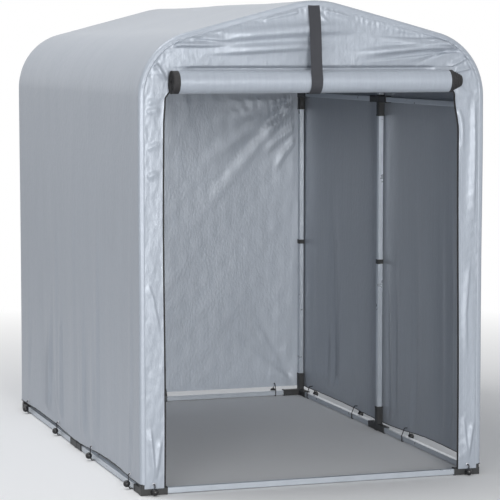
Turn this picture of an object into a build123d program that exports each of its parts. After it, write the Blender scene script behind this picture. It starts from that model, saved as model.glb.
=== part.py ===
"""A tent shelter for bicycles: a square-tube frame on moulded joints under a cloth cover with a rolled-up door.

Millimetres. The front, with the doorway, faces -Y and up is +Z. The ground is z = 0.
"""

import math
import os

from build123d import *

os.makedirs("parts", exist_ok=True)

# Outer sizes of the cover and the shape of its roof.
cover_width = 1295.0
cover_depth = 1960.0
cover_height = 1730.0
roof_angle = 14.7
eave_radius = 230.0
ridge_radius = 330.0
cloth = 2.0
seam = 0.3

# Square steel tube and the moulded joints that hold it.
tube = 20.0
tube_wall = 1.0
tube_blunt = 1.2
socket = 27.0
socket_fit = 0.15
socket_blunt = 2.0
socket_reach = 85.0
socket_stop = 14.5
rim = 0.8
rim_length = 6.0

# Heights and reaches of single joints.
coupler_z = 695.0
coupler_height = 18.0
coupler_width = 25.0
sleeve_fit = 0.2
sleeve_reach = 45.0
eave_joint_drop = 38.0
eave_joint_up = 18.0
eave_joint_down = 68.0
eave_joint_web = 2.0
ridge_margin = 9.5
ridge_grip = 64.0

# Hem, doorway and door roll.
hem_z = 40.0
front_hem_z = 24.0
flap_width = 92.5
zip_width = 6.0
roll_radius = 42.5
roll_core = 9.0
roll_rise = 53.0
roll_turns = 4
roll_in_left = 12.5
roll_in_right = 68.0
roll_tape = 23.5
roll_ring = 11.0
roll_cone = 52.0
roll_tip = 0.45
roll_lift = 42.0
strap_width = 42.0
strap_thick = 2.0
strap_x = -16.0

# Ball ties: along each side from near the front corner to near the back one.
ball_radius = 12.5
cord_radius = 1.5
eyelet_radius = 3.0
eyelet_rise = 15.0
eyelet_sides = 8
ball_sides = 8
side_tie_count = 4
side_tie_in = 138.0
corner_tie = 50.0

half = cover_width / 2
bore = tube - 2 * tube_wall
doorway_width = cover_width - 2 * flap_width
roll_left = roll_in_left - doorway_width / 2
roll_right = doorway_width / 2 - roll_in_right
side_tie_step = (cover_depth - 2 * side_tie_in) / (side_tie_count - 1)
side_ties = [side_tie_in + k * side_tie_step for k in range(side_tie_count)]
cavity = tube + 2 * socket_fit
inset = cloth + seam
frame_x = half - inset - socket / 2
roll_proud = seam + 2 * roll_radius + strap_thick + 2 * seam
ball_proud = seam + 2 * ball_radius
front_y = roll_proud - (cover_depth + roll_proud + ball_proud) / 2
back_y = front_y + cover_depth
frame_front = front_y + inset + socket / 2
frame_back = back_y - inset - socket / 2
frame_middle = (frame_front + frame_back) / 2
frames_y = (frame_front, frame_middle, frame_back)
base_z = socket / 2
ball_x = half + seam + ball_radius

# Arch of the cover: vertical side, rounded eave, straight slope, rounded ridge.
rise_cos = math.cos(math.radians(roof_angle))
rise_sin = math.sin(math.radians(roof_angle))
eave_x = half - eave_radius
ridge_z = cover_height - ridge_radius
eave_z = (ridge_radius - eave_radius + ridge_z * rise_cos - eave_x * rise_sin) / rise_cos
eave_joint_z = eave_z - eave_joint_drop
roll_z = eave_z + roll_rise

# The rafters stop where the rounded ridge would come down on them, and the ridge joint takes over.
ridge_stop = ridge_radius * rise_sin / rise_cos - math.sqrt(ridge_radius * (socket - tube)) + ridge_margin
ridge_reach = ridge_stop + ridge_grip


def eave_end(depth):
    """Point where the rounded eave meets the slope, this far inside the cover's outer face."""
    r = eave_radius - depth
    return (eave_x + r * rise_sin, eave_z + r * rise_cos)


def ridge_end(depth):
    """Point where the slope meets the rounded ridge."""
    r = ridge_radius - depth
    return (r * rise_sin, ridge_z + r * rise_cos)


def arch_region(depth, bottom, mode=Mode.ADD):
    """Face under the arch, drawn in the open sketch, down to a level bottom."""
    edge = half - depth
    ex, ez = eave_end(depth)
    rx, rz = ridge_end(depth)
    with BuildLine() as outline:
        Line((-edge, bottom), (edge, bottom))
        Line((edge, bottom), (edge, eave_z))
        CenterArc((eave_x, eave_z), eave_radius - depth, 0, 90 - roof_angle)
        Line((ex, ez), (rx, rz))
        CenterArc((0, ridge_z), ridge_radius - depth, 90 - roof_angle, 2 * roof_angle)
        Line((-rx, rz), (-ex, ez))
        CenterArc((-eave_x, eave_z), eave_radius - depth, 90 + roof_angle, 90 - roof_angle)
        Line((-edge, eave_z), (-edge, bottom))
    make_face(outline.edges(), mode=mode)


def across(y):
    """Upright plane across the shelter: its own x and y are the object's X and Z."""
    return Plane(origin=(0, y, 0), x_dir=(1, 0, 0), z_dir=(0, -1, 0))


def upright(x, y, z):
    return Plane(origin=(x, y, z), x_dir=(1, 0, 0), z_dir=(0, 0, 1))


def along_depth(x, y, z, way=1):
    return Plane(origin=(x, y, z), x_dir=(1, 0, 0), z_dir=(0, way, 0))


def along_width(x, y, z, way=1):
    return Plane(origin=(x, y, z), x_dir=(0, 1, 0), z_dir=(way, 0, 0))


def down_slope(y, side):
    """Plane across a rafter at the point where both rafters' middle lines meet."""
    depth = half - frame_x
    rx, rz = ridge_end(depth)
    apex = rz + rx * rise_sin / rise_cos
    return Plane(origin=(0, y, apex), x_dir=(0, 1, 0), z_dir=(side * rise_cos, 0, -rise_sin))


def blunt_square(size, blunt):
    """Square with its corners cut off, drawn in the open sketch."""
    far = size / 2
    near = far - blunt
    Polygon(
        (near, -far), (far, -near), (far, near), (near, far),
        (-near, far), (-far, near), (-far, -near), (-near, -far),
    )


def tube_run(start, length):
    """Hollow square tube from a plane along its normal."""
    with BuildSketch(start) as ring:
        blunt_square(tube, tube_blunt)
        Rectangle(bore, bore, mode=Mode.SUBTRACT)
    extrude(ring.sketch, amount=length)


def arm(start, reach):
    """Outside of one socket of a moulded joint, with a thicker rim at its mouth."""
    with BuildSketch(start) as sleeve:
        blunt_square(socket - 2 * rim, socket_blunt)
    extrude(sleeve.sketch, amount=reach)
    with BuildSketch(start.offset(reach - rim_length)) as mouth:
        blunt_square(socket, socket_blunt)
    extrude(mouth.sketch, amount=rim_length)


def hub(x, y, z):
    """Block at the heart of a moulded joint."""
    with Locations((x, y, z)):
        Box(socket, socket, socket)


def hollow(start, reach, stop=socket_stop):
    """Cavity for a tube, cut from the mouth of a socket down to its stop."""
    with BuildSketch(start.offset(stop)) as cut:
        Rectangle(cavity, cavity)
    extrude(cut.sketch, amount=reach - stop, mode=Mode.SUBTRACT)


def save(part, name):
    part.label = name
    export_step(part, f"parts/{name}.step")


# Posts: a lower and an upper tube in each, kept apart by the coupler's collar.
for name, y in zip(("posts_front", "posts_middle", "posts_back"), frames_y):
    with BuildPart() as posts:
        for side in (-1, 1):
            low = base_z + socket_stop
            collar_low = coupler_z - coupler_height / 2
            collar_high = coupler_z + coupler_height / 2
            top = eave_joint_z - eave_joint_web / 2
            tube_run(upright(side * frame_x, y, low), collar_low - low)
            tube_run(upright(side * frame_x, y, collar_high), top - collar_high)
    save(posts.part, name)

# Couplers: a collar as tall as the gap between the tubes and a plug into each of them.
for name, side in (("post_couplers_left", -1), ("post_couplers_right", 1)):
    with BuildPart() as couplers:
        for y in frames_y:
            with BuildSketch(upright(side * frame_x, y, coupler_z - coupler_height / 2)):
                blunt_square(coupler_width, socket_blunt)
            extrude(amount=coupler_height)
            with BuildSketch(upright(side * frame_x, y, coupler_z - sleeve_reach)):
                Rectangle(bore - 2 * sleeve_fit, bore - 2 * sleeve_fit)
            extrude(amount=2 * sleeve_reach)
    save(couplers.part, name)

# Rafters: one bent tube a side, up from the eave joint, round the eave and up the slope.
rafter_depth = half - frame_x
rafter_start = (frame_x, eave_joint_z + eave_joint_web / 2)
bend_end = eave_end(rafter_depth)
slope_apex = down_slope(0, 1).origin.Z
rafter_end = (ridge_stop * rise_cos, slope_apex - ridge_stop * rise_sin)
for name, y in zip(("rafters_front", "rafters_middle", "rafters_back"), frames_y):
    with BuildPart() as rafters:
        with BuildLine(across(y)) as bend:
            Line(rafter_start, (frame_x, eave_z))
            CenterArc((eave_x, eave_z), eave_radius - rafter_depth, 0, 90 - roof_angle)
            Line(bend_end, rafter_end)
        with BuildSketch(upright(frame_x, y, rafter_start[1])):
            Rectangle(tube, tube)
            Rectangle(bore, bore, mode=Mode.SUBTRACT)
        sweep(path=bend.line)
        mirror(about=Plane.YZ)
    save(rafters.part, name)

# Rails along the depth, one tube a bay, at the ground, the eave and the ridge.
bays = ((frame_front, frame_middle), (frame_middle, frame_back))
rail_rows = (
    ("base_rails_left", -frame_x, base_z),
    ("base_rails_right", frame_x, base_z),
    ("eave_rails_left", -frame_x, eave_joint_z),
    ("eave_rails_right", frame_x, eave_joint_z),
    ("ridge_rails", 0, cover_height - inset - socket / 2),
)
for name, x, z in rail_rows:
    with BuildPart() as rails:
        for near, far in bays:
            tube_run(along_depth(x, near + socket_stop, z), far - near - 2 * socket_stop)
    save(rails.part, name)

# Cross bars on the ground: two tubes meet in the middle over an inner sleeve.
sill_length = frame_x - socket_stop - seam / 2
for name, y in (("sill_front", frame_front), ("sill_back", frame_back)):
    with BuildPart() as sill:
        for side in (-1, 1):
            tube_run(along_width(side * seam / 2, y, base_z, side), sill_length)
    save(sill.part, name)
with BuildPart() as sill_sleeves:
    for y in (frame_front, frame_back):
        with BuildSketch(along_width(-2 * sleeve_reach, y, base_z)):
            Rectangle(bore - 2 * sleeve_fit, bore - 2 * sleeve_fit)
        extrude(amount=4 * sleeve_reach)
save(sill_sleeves.part, "sill_sleeves")

# Three-way corner brackets on the ground: along the depth, along the width and up.
with BuildPart() as base_corners:
    for side in (-1, 1):
        for y, way in ((frame_front, 1), (frame_back, -1)):
            arms = (
                along_depth(side * frame_x, y, base_z, way),
                along_width(side * frame_x, y, base_z, -side),
                upright(side * frame_x, y, base_z),
            )
            hub(side * frame_x, y, base_z)
            for start in arms:
                arm(start, socket_reach)
            for start in arms:
                hollow(start, socket_reach)
save(base_corners.part, "base_corners")

# Tees under the middle posts.
with BuildPart() as base_tees:
    for side in (-1, 1):
        arms = (
            along_depth(side * frame_x, frame_middle, base_z, 1),
            along_depth(side * frame_x, frame_middle, base_z, -1),
            upright(side * frame_x, frame_middle, base_z),
        )
        hub(side * frame_x, frame_middle, base_z)
        for start in arms:
            arm(start, socket_reach)
        for start in arms:
            hollow(start, socket_reach)
save(base_tees.part, "base_tees")

# Eave joints: a long upright socket below, a short one above, and one along the eave towards each bay.
for name, side in (("eave_joints_left", -1), ("eave_joints_right", 1)):
    with BuildPart() as eave_joints:
        for y in frames_y:
            ways = [w for w in (-1, 1) if frame_front <= y + w <= frame_back]
            up = upright(side * frame_x, y, eave_joint_z)
            down = Plane(origin=up.origin, x_dir=(1, 0, 0), z_dir=(0, 0, -1))
            hub(side * frame_x, y, eave_joint_z)
            arm(up, eave_joint_up)
            arm(down, eave_joint_down)
            for way in ways:
                arm(along_depth(side * frame_x, y, eave_joint_z, way), socket_reach)
            hollow(up, eave_joint_up, eave_joint_web / 2)
            hollow(down, eave_joint_down, eave_joint_web / 2)
            for way in ways:
                hollow(along_depth(side * frame_x, y, eave_joint_z, way), socket_reach)
    save(eave_joints.part, name)

# Ridge joints: two sloping sockets and one along the ridge towards each bay, rounded on top like the cover.
rail_z = cover_height - inset - socket / 2
with BuildPart() as ridge_joints:
    for y in frames_y:
        ways = [w for w in (-1, 1) if frame_front <= y + w <= frame_back]
        hub(0, y, rail_z)
        for side in (-1, 1):
            arm(down_slope(y, side), ridge_reach)
        for way in ways:
            arm(along_depth(0, y, rail_z, way), socket_reach)
    with BuildSketch(across(back_y)):
        Rectangle(4 * ridge_reach, 2.5 * cover_height)
        arch_region(inset, 0, Mode.SUBTRACT)
        with Locations((0, 0)):
            Rectangle(4 * ridge_reach, cover_height, mode=Mode.SUBTRACT)
    extrude(amount=cover_depth, mode=Mode.SUBTRACT)
    for y in frames_y:
        ways = [w for w in (-1, 1) if frame_front <= y + w <= frame_back]
        for side in (-1, 1):
            hollow(down_slope(y, side), ridge_reach, ridge_stop)
        for way in ways:
            hollow(along_depth(0, y, rail_z, way), socket_reach)
save(ridge_joints.part, "ridge_joints")

# Cover sides: flat cloth from the hem to the eave, with an eyelet above the hem for each ball tie.
with BuildPart() as cover_side_right:
    with BuildSketch(along_width(half - cloth, 0, 0)):
        with Locations(((front_y + back_y) / 2, (hem_z + eave_z) / 2)):
            Rectangle(cover_depth, eave_z - hem_z)
        with Locations([(front_y + reach, hem_z + eyelet_rise) for reach in side_ties]):
            RegularPolygon(eyelet_radius, eyelet_sides, mode=Mode.SUBTRACT)
    extrude(amount=cloth)
with BuildPart() as cover_side_left:
    mirror(cover_side_right.part, about=Plane.YZ)
save(cover_side_right.part, "cover_side_right")
save(cover_side_left.part, "cover_side_left")

# Rounded eaves, as long as the cover.
with BuildPart() as cover_eave_right:
    with BuildSketch(across(back_y)):
        with BuildLine():
            CenterArc((eave_x, eave_z), eave_radius, 0, 90 - roof_angle)
            Line(eave_end(0), eave_end(cloth))
            CenterArc((eave_x, eave_z), eave_radius - cloth, 0, 90 - roof_angle)
            Line((half - cloth, eave_z), (half, eave_z))
        make_face()
    extrude(amount=cover_depth)
with BuildPart() as cover_eave_left:
    mirror(cover_eave_right.part, about=Plane.YZ)
save(cover_eave_right.part, "cover_eave_right")
save(cover_eave_left.part, "cover_eave_left")

# Roof slopes with their half of the rounded ridge.
with BuildPart() as cover_roof_right:
    with BuildSketch(across(back_y)):
        with BuildLine():
            Line(eave_end(0), ridge_end(0))
            CenterArc((0, ridge_z), ridge_radius, 90 - roof_angle, roof_angle)
            Line((0, cover_height), (0, cover_height - cloth))
            CenterArc((0, ridge_z), ridge_radius - cloth, 90 - roof_angle, roof_angle)
            Line(ridge_end(cloth), eave_end(cloth))
            Line(eave_end(cloth), eave_end(0))
        make_face()
    extrude(amount=cover_depth)
with BuildPart() as cover_roof_left:
    mirror(cover_roof_right.part, about=Plane.YZ)
save(cover_roof_right.part, "cover_roof_right")
save(cover_roof_left.part, "cover_roof_left")

# Back wall, gable shaped, with its own eyelets.
back_places = (side_ties[0] - half, 0, half - side_ties[0])
with BuildPart() as cover_back:
    with BuildSketch(across(back_y)):
        arch_region(inset, hem_z)
        with Locations([(x, hem_z + eyelet_rise) for x in back_places]):
            RegularPolygon(eyelet_radius, eyelet_sides, mode=Mode.SUBTRACT)
    extrude(amount=cloth)
save(cover_back.part, "cover_back")

# Front: the gable over the doorway and a flap on either side of it.
with BuildPart() as cover_gable:
    with BuildSketch(across(front_y + cloth)):
        arch_region(inset, 0)
        with Locations((0, roll_z + cover_height / 2)):
            Rectangle(cover_width, cover_height, mode=Mode.INTERSECT)
    extrude(amount=cloth)
save(cover_gable.part, "cover_gable")
flap_inner = doorway_width / 2 + zip_width
flap_x = half - corner_tie
flap_eyelet_z = front_hem_z + eyelet_rise
with BuildPart() as front_flap_right:
    with BuildSketch(across(front_y + cloth)):
        arch_region(inset, 0)
        with Locations((flap_inner + half / 2, (front_hem_z + roll_z) / 2)):
            Rectangle(half, roll_z - front_hem_z, mode=Mode.INTERSECT)
        with Locations((flap_x, flap_eyelet_z)):
            RegularPolygon(eyelet_radius, eyelet_sides, mode=Mode.SUBTRACT)
    extrude(amount=cloth)
with BuildPart() as front_flap_left:
    mirror(front_flap_right.part, about=Plane.YZ)
save(front_flap_right.part, "front_flap_right")
save(front_flap_left.part, "front_flap_left")

# Zip tapes along the flaps' inner edges.
with BuildPart() as zip_tape_right:
    with BuildSketch(across(front_y + cloth)):
        with Locations((flap_inner - zip_width / 2, (front_hem_z + roll_z) / 2)):
            Rectangle(zip_width, roll_z - front_hem_z)
    extrude(amount=cloth)
with BuildPart() as zip_tape_left:
    mirror(zip_tape_right.part, about=Plane.YZ)
save(zip_tape_right.part, "zip_tape_right")
save(zip_tape_left.part, "zip_tape_left")

# Door, rolled up outwards: a spiral of half circles, each a little wider than the one inside it.
roll_y = front_y - seam - roll_radius
roll_pitch = (roll_radius - cloth - roll_core) / roll_turns


def spiral(start, length, outer=roll_radius, lift=0.0):
    """Spiral strip of cloth, wound from the core out to its back, then up as far as the lift."""
    with BuildLine() as strip:
        for k in range(2 * roll_turns):
            r = outer - k * roll_pitch / 2
            centre = 0.0 if k % 2 == 0 else -roll_pitch / 2
            begin = 180 if k % 2 == 0 else 0
            CenterArc((centre, 0), r, begin, 180)
            CenterArc((centre, 0), r - cloth, begin, 180)
        last = outer - roll_turns * roll_pitch
        Line((last, 0), (last - cloth, 0))
        if lift:
            Line((outer, 0), (outer, lift))
            Line((outer, lift), (outer - cloth, lift))
            Line((outer - cloth, lift), (outer - cloth, 0))
        else:
            Line((outer, 0), (outer - cloth, 0))
    with BuildSketch(start) as section:
        make_face(strip.edges())
    extrude(section.sketch, amount=length)


# The cloth of the roll, with its outer turn running up the gable to the seam it hangs from.
with BuildPart() as door_roll:
    spiral(along_width(roll_left + roll_tape, roll_y, roll_z), roll_right - roll_left - roll_tape, lift=roll_lift)
save(door_roll.part, "door_roll")

# Tape edges of the roll: level on the left, drawn out into a cone on the right.
with BuildPart() as roll_zips:
    spiral(along_width(roll_right + seam, roll_y, roll_z), roll_cone)
    with BuildSketch(across(roll_y)):
        with BuildLine():
            Polyline(
                (roll_right, roll_z),
                (roll_right, roll_z + roll_radius + seam),
                (roll_right + roll_ring, roll_z + roll_radius + seam),
                (roll_right + seam + roll_cone, roll_z + roll_radius * roll_tip),
                (roll_right + seam + roll_cone, roll_z),
                close=True,
            )
        make_face()
    revolve(axis=Axis((roll_right, roll_y, roll_z), (1, 0, 0)), mode=Mode.INTERSECT)
    spiral(along_width(roll_left, roll_y, roll_z), roll_tape - seam)
save(roll_zips.part, "roll_zips")

# Webbing strap: sewn in under the ridge, down over the front of the roll and up behind it as far as its tail.
strap_in = roll_radius + seam
strap_out = strap_in + strap_thick
strap_top = cover_height - 2 * inset
gable_gap = roll_y + strap_in
reach_top = math.hypot(strap_in, strap_top - roll_z)
lead = math.degrees(math.atan2(strap_top - roll_z, strap_in)) + math.degrees(math.acos(strap_in / reach_top))
strap_wrap = 345 - lead
with BuildPart() as roll_strap:
    with BuildSketch(along_width(strap_x - strap_width / 2, roll_y, roll_z)):
        with BuildLine():
            touch = CenterArc((0, 0), strap_in, lead, strap_wrap)
            round_out = CenterArc((0, 0), strap_out, lead, strap_wrap)
            head = Line(touch @ 0, (strap_in, strap_top - roll_z))
            Line(head @ 1, (strap_in - strap_thick, strap_top - roll_z))
            Line((strap_in - strap_thick, strap_top - roll_z), round_out @ 0)
            Line(touch @ 1, round_out @ 1)
        make_face()
    extrude(amount=strap_width)
save(roll_strap.part, "roll_strap")

# Ball ties: a ball on an elastic loop that comes through the hem eyelet and round the rail.
cord_gap = cord_radius + seam
rail_in = frame_x - tube / 2
ball_z = base_z + ball_radius / 2
side_eyelet_z = hem_z + eyelet_rise
side_loop = (
    (ball_x - ball_radius / 2, base_z + ball_radius),
    (ball_x - ball_radius / 2, side_eyelet_z),
    (frame_x, side_eyelet_z),
    (rail_in - cord_gap, base_z + tube / 2 + cord_gap),
    (rail_in - cord_gap, base_z - tube / 2 - cord_gap),
    (half + cord_gap, base_z - tube / 2 - cord_gap),
    (ball_x - ball_radius / 2, base_z),
)


def cord(points, start):
    """Elastic cord along a bent line drawn on a plane."""
    with BuildLine(start) as run:
        Polyline(*points)
    with BuildSketch(Plane(origin=run.line @ 0, z_dir=run.line % 0)) as section:
        RegularPolygon(cord_radius, 6)
    sweep(section.sketch, path=run.line, transition=Transition.RIGHT)


def ball(x, y, z):
    """Ball with few faces: level polygons from pole to pole, joined by straight faces."""
    rings = []
    for k in range(1, 5):
        lean = math.pi * (k / 5 - 0.5)
        with BuildSketch(Plane.XY.offset(z + ball_radius * math.sin(lean))) as ring:
            with Locations((x, y)):
                RegularPolygon(ball_radius * math.cos(lean), ball_sides)
        rings.append(ring.sketch)
    loft(rings, ruled=True)


with BuildPart() as ties_right:
    for reach in side_ties:
        ball(ball_x, front_y + reach, ball_z)
        cord(side_loop, across(front_y + reach))
with BuildPart() as ties_left:
    mirror(ties_right.part, about=Plane.YZ)
save(ties_right.part, "ties_right")
save(ties_left.part, "ties_left")

# The same loop behind the shelter, turned to face the back.
back_loop = [(a - half + back_y, z) for a, z in side_loop]
with BuildPart() as ties_back:
    for x in back_places:
        ball(x, back_y + ball_x - half, ball_z)
        cord(back_loop, along_width(x, 0, 0))
save(ties_back.part, "ties_back")

# At the front the elastic comes through the flap and hooks down on the corner bracket.
front_loop = (
    (front_y - ball_x + half, base_z),
    (front_y - ball_x + half, flap_eyelet_z),
    (frame_front, flap_eyelet_z),
    (frame_front, socket - rim + seam),
)
with BuildPart() as ties_front:
    for side in (-1, 1):
        ball(side * flap_x, front_y - ball_x + half, base_z)
        cord(front_loop, along_width(side * flap_x, 0, 0))
save(ties_front.part, "ties_front")
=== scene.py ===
import math

import bpy
import numpy as np
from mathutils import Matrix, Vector


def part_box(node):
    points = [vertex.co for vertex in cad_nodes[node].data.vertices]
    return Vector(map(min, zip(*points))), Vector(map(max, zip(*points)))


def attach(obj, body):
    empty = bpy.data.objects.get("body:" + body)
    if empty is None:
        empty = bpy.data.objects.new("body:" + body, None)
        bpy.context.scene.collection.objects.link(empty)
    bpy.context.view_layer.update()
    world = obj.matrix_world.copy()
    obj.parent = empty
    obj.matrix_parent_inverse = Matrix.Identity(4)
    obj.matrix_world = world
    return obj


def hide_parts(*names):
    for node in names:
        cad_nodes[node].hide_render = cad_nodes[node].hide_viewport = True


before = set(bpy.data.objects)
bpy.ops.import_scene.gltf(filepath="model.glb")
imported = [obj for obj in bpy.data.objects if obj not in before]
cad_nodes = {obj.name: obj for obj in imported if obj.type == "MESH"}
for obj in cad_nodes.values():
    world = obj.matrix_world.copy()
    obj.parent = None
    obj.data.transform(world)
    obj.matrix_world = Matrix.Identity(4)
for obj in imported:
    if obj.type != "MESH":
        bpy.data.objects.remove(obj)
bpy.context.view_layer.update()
scene = bpy.context.scene

# Camera: stands to the left of the doorway at eye height, tilted down a little.
# The lens and place come from the photograph's vanishing lines and the tent's corners.
front_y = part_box("cover_side_left")[0].y
back_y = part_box("cover_side_left")[1].y


def placed(name, data):
    """New object in the scene."""
    thing = bpy.data.objects.new(name, data)
    scene.collection.objects.link(thing)
    return thing


camera_data = bpy.data.cameras.new("camera")
camera = placed("camera", camera_data)
scene.camera = camera
camera_data.sensor_width = 36.0
camera_data.lens = 157.43
camera_data.clip_end = 60.0
camera_yaw = 0.3158
camera_pitch = -0.0936
camera.location = (-2.6249, front_y - 7.2872, 1.5748)
camera.rotation_euler = (math.pi / 2 + camera_pitch, 0.0, -camera_yaw)


# Frame tubes: posts, rafters, rails and cross bars.
# 20 mm square steel tube with a light grey powder coat, cut to length and pushed into the joints.
# The solids keep their own shape; only the finish is added here.


def node_tree(name, kind, inputs, outputs):
    """Node group with named sockets; an input is given by its number or, like an output, by its kind."""
    tree = bpy.data.node_groups.new(name, kind + "NodeTree")
    for label, value in inputs.items():
        socket_kind = "Float" if isinstance(value, float) else value
        socket = tree.interface.new_socket(label, in_out="INPUT", socket_type="NodeSocket" + socket_kind)
        if isinstance(value, float):
            socket.default_value = value
    for label, socket_kind in outputs.items():
        tree.interface.new_socket(label, in_out="OUTPUT", socket_type="NodeSocket" + socket_kind)
    return tree, tree.nodes.new("NodeGroupInput"), tree.nodes.new("NodeGroupOutput")


def add_node(tree, kind, values=None, **settings):
    """New node with its settings and unlinked socket values."""
    node = tree.nodes.new(kind)
    for key, value in settings.items():
        setattr(node, key, value)
    for key, value in (values or {}).items():
        node.inputs[key].default_value = value
    return node


def wire(tree, *links):
    """Links between nodes; each is (from node, its output, to node, its input)."""
    for start, output, end, socket in links:
        tree.links.new(start.outputs[output], end.inputs[socket])


def coloured(tree, shader, factor, dark, light):
    """Base colour that runs from dark to light with a factor."""
    mix = add_node(tree, "ShaderNodeMix", {6: dark, 7: light}, data_type="RGBA")
    tree.links.new(factor, mix.inputs["Factor"])
    wire(tree, (mix, 2, shader, "Base Color"))


def scaled(tree, value, low, high, from_low=0.0, from_high=1.0):
    """Value carried from one range to another."""
    ends = {"From Min": from_low, "From Max": from_high, "To Min": low, "To Max": high}
    node = add_node(tree, "ShaderNodeMapRange", ends)
    tree.links.new(value, node.inputs["Value"])
    return node.outputs["Result"]


def new_material(name, **base):
    """Principled material; returns it with its tree and shader node."""
    material = bpy.data.materials.new(name)
    material.use_nodes = True
    shader = material.node_tree.nodes["Principled BSDF"]
    for key, value in base.items():
        shader.inputs[key.replace("_", " ")].default_value = value
    return material, material.node_tree, shader


grain, grain_in, grain_out = node_tree(
    "fine_grain", "Shader", {"Vector": "Vector", "Scale": 400.0, "Patches": 9.0},
    {"Grain": "Float", "Patch": "Float"},
)
for size, mask, values in (
    ("Scale", "Grain", {"Detail": 2.0, "Roughness": 0.5}),
    ("Patches", "Patch", {"Detail": 3.0, "Roughness": 0.6}),
):
    noise = add_node(grain, "ShaderNodeTexNoise", values)
    wire(
        grain, (grain_in, "Vector", noise, "Vector"), (grain_in, size, noise, "Scale"),
        (noise, "Fac", grain_out, mask),
    )


def grained(tree, scale, patches):
    """The grain group on object coordinates, placed in a material."""
    where = add_node(tree, "ShaderNodeTexCoord")
    node = add_node(tree, "ShaderNodeGroup", {"Scale": scale, "Patches": patches}, node_tree=grain)
    wire(tree, (where, "Object", node, "Vector"))
    return node


def bumped(tree, shader, height, strength, distance):
    """Height that feeds the shader's normal through a Bump node."""
    bump = add_node(tree, "ShaderNodeBump", {"Strength": strength, "Distance": distance})
    tree.links.new(height, bump.inputs["Height"])
    wire(tree, (bump, "Normal", shader, "Normal"))


def grained_finish(name, scale, patches, dark, light, rough=None, rough_by="Patch", bump=None, **base):
    """Finish whose colour, and roughness where given, vary with the grain; bump is (strength, distance)."""
    material, tree, shader = new_material(name, **base)
    look = grained(tree, scale, patches)
    coloured(tree, shader, look.outputs["Patch"], dark, light)
    if rough:
        tree.links.new(scaled(tree, look.outputs[rough_by], *rough), shader.inputs["Roughness"])
    if bump:
        bumped(tree, shader, look.outputs["Grain"], *bump)
    return material


def finish_nodes(names, material):
    """Gives CAD nodes their material."""
    for name in names:
        mesh = cad_nodes[name].data
        mesh.materials.clear()
        mesh.materials.append(material)


tube_coat = grained_finish(
    "tube_powder_coat", 1400.0, 14.0, (0.44, 0.48, 0.53, 1), (0.53, 0.57, 0.62, 1), (0.24, 0.34),
    bump=(0.25, 0.0004), Metallic=0.55,
)
finish_nodes([
    "posts_front", "posts_middle", "posts_back", "rafters_front", "rafters_middle", "rafters_back",
    "base_rails_left", "base_rails_right", "eave_rails_left", "eave_rails_right", "ridge_rails",
    "sill_front", "sill_back", "sill_sleeves",
], tube_coat)

# Moulded joints: corner brackets, tees, eave and ridge joints and post couplers.
# Black plastic, moulded in one piece each with a thicker rim at every mouth, dull from the mould's grain.
joint_plastic = grained_finish(
    "joint_plastic", 2200.0, 25.0, (0.011, 0.012, 0.013, 1), (0.022, 0.023, 0.025, 1), (0.42, 0.6), "Grain",
    bump=(0.35, 0.0004),
)
finish_nodes([
    "base_corners", "base_tees", "eave_joints_left", "eave_joints_right", "ridge_joints",
    "post_couplers_left", "post_couplers_right",
], joint_plastic)

# Cover: one long sheet over the frame, from the left hem over the ridge to the right hem.
# Woven polyester with a silver coating, sewn round the front and back portals and pulled down by its hem.
# It turns round the corner posts and is sewn to the front and the back wall a finger's width in.
half_width = 0.6475
top_z = 1.730
slope = math.radians(14.7)
eave_r = 0.230
ridge_r = 0.330
hem_z = 0.040
front_hem_z = 0.024
corner_r = 0.009
seam_inset = 0.0195
cloth_thick = 0.0009
portal_inset = 0.0158
roof_sag, side_sag = 0.004, 0.0025
eave_x = half_width - eave_r
ridge_z = top_z - ridge_r
eave_z = (ridge_r - eave_r + ridge_z * math.cos(slope) - eave_x * math.sin(slope)) / math.cos(slope)
side_run = eave_z - hem_z
eave_run = eave_r * (math.pi / 2 - slope)
slope_run = math.hypot(
    eave_x + (eave_r - ridge_r) * math.sin(slope), ridge_z - eave_z + (ridge_r - eave_r) * math.cos(slope)
)
ridge_run = ridge_r * slope
half_run = side_run + eave_run + slope_run + ridge_run


def arch(along, inset):
    """Point and outward normal on the arch; along runs from the left hem to the right one, 0 at the ridge."""
    side = np.where(along < 0, -1.0, 1.0)
    up = half_run - np.abs(along)
    bend = np.clip((up - side_run) / eave_r, 0, math.pi / 2 - slope)
    crown = np.clip((up - side_run - eave_run - slope_run) / ridge_r, 0, slope)
    angle = bend + crown
    nx, nz = np.cos(angle), np.sin(angle)
    climb = np.clip(up - side_run - eave_run, 0, slope_run)
    x = eave_x + (eave_r - inset) * np.cos(bend) - climb * math.cos(slope)
    z = eave_z + (eave_r - inset) * np.sin(bend) + climb * math.sin(slope) + np.minimum(up - side_run, 0)
    on_crown = crown > 0
    x = np.where(on_crown, (ridge_r - inset) * nx, x)
    z = np.where(on_crown, ridge_z + (ridge_r - inset) * nz, z)
    return side * x, z, side * nx, nz


def smooth(value, low, high):
    """0 below low, 1 above high, with a soft step between them."""
    t = np.clip((value - low) / (high - low), 0, 1)
    return t * t * (3 - 2 * t)


def waves(a, b, seed, size, count=6):
    """Gentle uneven surface from a few sine waves of about one size; the same for the same seed."""
    rng = np.random.default_rng(seed)
    total = np.zeros_like(a)
    for _ in range(count):
        turn = rng.uniform(0, 2 * math.pi)
        stretch = rng.uniform(0.7, 1.5)
        phase = rng.uniform(0, 2 * math.pi)
        total += np.sin((a * math.cos(turn) + b * math.sin(turn)) * 2 * math.pi / (size * stretch) + phase)
    return total / count


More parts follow.
